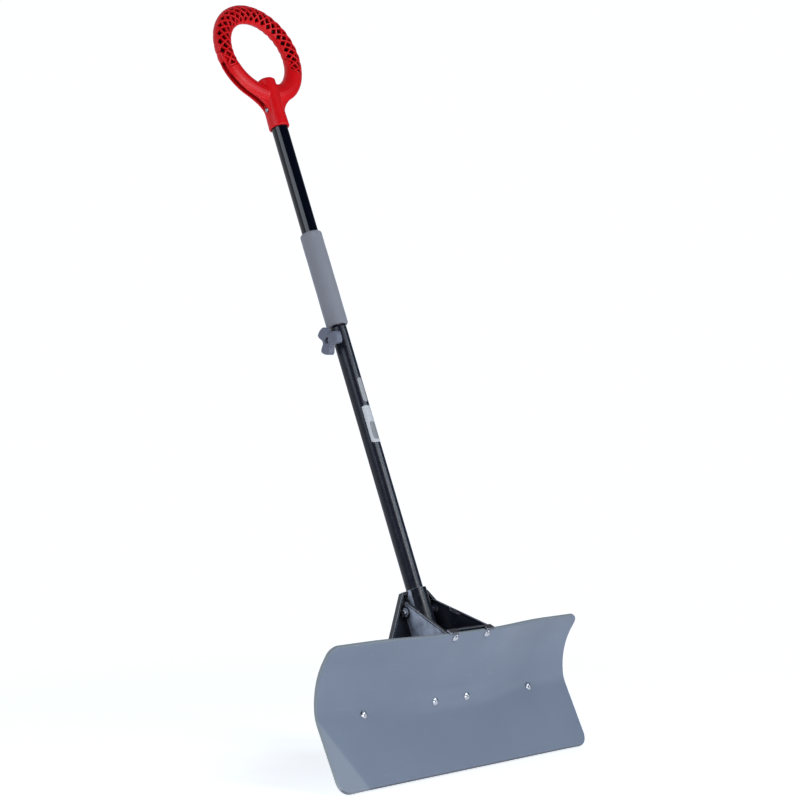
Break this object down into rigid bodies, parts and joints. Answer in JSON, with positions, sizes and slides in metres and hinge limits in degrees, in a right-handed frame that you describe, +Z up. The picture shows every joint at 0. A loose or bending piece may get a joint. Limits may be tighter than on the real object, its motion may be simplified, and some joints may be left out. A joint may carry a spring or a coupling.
{
  "type": "snow pusher",
  "caption": "Snow pusher with a wide curled poly blade on a moulded bracket, a telescoping clamped shaft, a foam mid grip and an open ring handle.",
  "frame": {"origin": "middle of the scraping face, the cut lower edge of the blade that runs on the ground", "axes": "+Z up, -Y the side that pushes the snow, +X across the blade; the shaft leans 22.5 degrees from vertical towards +Y"},
  "size_m": [0.61, 0.5732, 1.325],
  "materials": {
    "poly_sheet": "satin moulded polyethylene, grey-blue",
    "black_nylon": "satin moulded nylon with polished edges",
    "zinc_steel": "bright zinc plate",
    "matte_paint": "matte charcoal powder coat",
    "gloss_paint": "gloss black enamel",
    "grip_foam": "matte closed-cell foam",
    "red_plastic": "satin moulded plastic",
    "knob_plastic": "satin moulded plastic"
  },
  "bodies": {
    "pusher": {"blade": "poly_sheet", "bracket": "black_nylon", "lower_tube": "matte_paint", "socket_bolt": "zinc_steel", "socket_washer": "zinc_steel", "socket_nut": "zinc_steel", "clamp_boss": "zinc_steel", "blade_bolt_1": "zinc_steel", "blade_washer_1": "zinc_steel", "blade_nut_1": "zinc_steel", "blade_bolt_2": "zinc_steel", "blade_washer_2": "zinc_steel", "blade_nut_2": "zinc_steel", "blade_bolt_3": "zinc_steel", "blade_washer_3": "zinc_steel", "blade_nut_3": "zinc_steel", "blade_bolt_4": "zinc_steel", "blade_washer_4": "zinc_steel", "blade_nut_4": "zinc_steel", "blade_bolt_5": "zinc_steel", "blade_washer_5": "zinc_steel", "blade_nut_5": "zinc_steel", "blade_bolt_6": "zinc_steel", "blade_washer_6": "zinc_steel", "blade_nut_6": "zinc_steel"},
    "slide_carrier": {"slide_bush": "black_nylon"},
    "handle": {"upper_tube": "gloss_paint", "foam_grip": "grip_foam", "handle_body": "red_plastic", "ring_grip": "red_plastic", "handle_screw": "zinc_steel"},
    "clamp_pad": {"pressure_pad": "black_nylon"},
    "clamp_knob": {"clamp_screw": "zinc_steel", "clamp_knob": "knob_plastic"}
  },
  "joints": [
    {"name": "telescope_slide", "type": "slide", "parent": "pusher", "child": "slide_carrier", "axis": [0, 0.3827, 0.9239], "range_m": [0, 0.15]},
    {"name": "handle_swivel", "type": "hinge", "parent": "slide_carrier", "child": "handle", "pos_m": [0, 0.21736, 0.48943], "axis": [0, 0.3827, 0.9239], "continuous": true},
    {"name": "pad_slide", "type": "slide", "parent": "pusher", "child": "clamp_pad", "axis": [-1, 0, 0], "range_m": [0, 0.00375]},
    {"name": "knob_turn", "type": "hinge", "parent": "clamp_pad", "child": "clamp_knob", "pos_m": [-0.03, 0.30817, 0.70867], "axis": [-1, 0, 0], "range_deg": [0, 1080]}
  ],
  "couplings": [
    {"joint": "pad_slide", "follows": "knob_turn", "m_per_rad": 0.00019894}
  ]
}
